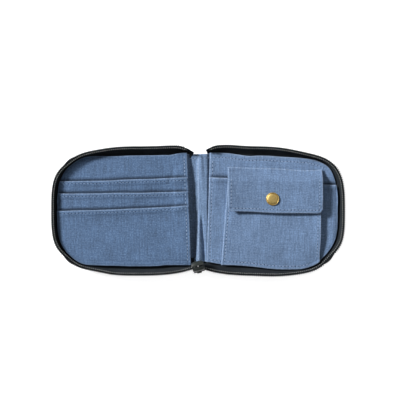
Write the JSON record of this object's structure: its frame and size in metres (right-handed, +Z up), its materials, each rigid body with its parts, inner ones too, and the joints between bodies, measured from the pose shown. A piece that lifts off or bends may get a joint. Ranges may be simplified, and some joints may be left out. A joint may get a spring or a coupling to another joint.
{
  "type": "zip around wallet",
  "caption": "Zip around wallet, opened flat: card pockets on one half, a coin pouch with a snap flap on the other, a folding spine between them and a zip round the edge.",
  "frame": {"origin": "middle of the spine, on the resting face under the opened wallet", "axes": "+X toward the coin half, +Y toward the top edge, +Z up from the resting face to the inside of the wallet"},
  "size_m": [0.2248, 0.0989, 0.0157],
  "materials": {
    "blue_canvas": "plain woven cotton canvas, matte",
    "outer_nylon": "plain woven black nylon, slight sheen",
    "stiffener": "pressed non-woven interlining",
    "zip_tape": "ribbed woven polyester tape",
    "zip_coil": "polyester coil, satin",
    "black_metal": "dark enamel on zinc, satin",
    "brass": "antique brass plate, polished dome"
  },
  "bodies": {
    "card_half": {"cover_card": "outer_nylon", "stiffener_card": "stiffener", "lining_card": "blue_canvas", "bill_wall_card": "blue_canvas", "card_panel": "blue_canvas", "card_pocket_upper": "blue_canvas", "card_pocket_middle": "blue_canvas", "card_pocket_lower": "blue_canvas", "zip_tape_card": "zip_tape", "zip_coil_card": "zip_coil", "zip_stop_card": "black_metal"},
    "spine": {"cover_spine": "outer_nylon", "stiffener_spine": "stiffener", "lining_spine": "blue_canvas", "bill_wall_spine": "blue_canvas"},
    "coin_half": {"cover_coin": "outer_nylon", "stiffener_coin": "stiffener", "lining_coin": "blue_canvas", "bill_wall_coin": "blue_canvas", "coin_panel": "blue_canvas", "slip_pocket": "blue_canvas", "pouch_back": "blue_canvas", "pouch_gusset": "blue_canvas", "pouch_front": "blue_canvas", "zip_tape_coin": "zip_tape", "zip_coil_coin": "zip_coil", "zip_stop_coin": "black_metal", "snap_stud": "brass", "snap_post": "brass"},
    "flap": {"coin_flap": "blue_canvas", "snap_cap": "brass", "snap_socket": "brass"},
    "slider": {"zip_slider": "black_metal"},
    "pull": {"zip_pull": "black_metal"}
  },
  "joints": [
    {"name": "card_fold", "type": "hinge", "parent": "card_half", "child": "spine", "pos_m": [-0.008, 0, 0.0037], "axis": [0, -1, 0], "range_deg": [0, 90]},
    {"name": "coin_fold", "type": "hinge", "parent": "spine", "child": "coin_half", "pos_m": [0.008, 0, 0.0037], "axis": [0, -1, 0], "range_deg": [0, 90]},
    {"name": "flap_lift", "type": "hinge", "parent": "coin_half", "child": "flap", "pos_m": [0.0593, 0.033, 0.01155], "axis": [-1, 0, 0], "range_deg": [0, 180]},
    {"name": "zip_travel", "type": "hinge", "parent": "card_half", "child": "slider", "pos_m": [-0.05, 0.14951, 0.0117], "axis": [0, 0, -1], "range_deg": [0, 17.4]},
    {"name": "pull_swing", "type": "hinge", "parent": "slider", "child": "pull", "pos_m": [0.00103, -0.04657, 0.0117], "axis": [-0.9678, -0.2519, 0], "range_deg": [0, 150]}
  ],
  "couplings": [
    {"joint": "coin_fold", "follows": "card_fold", "ratio": 1}
  ]
}
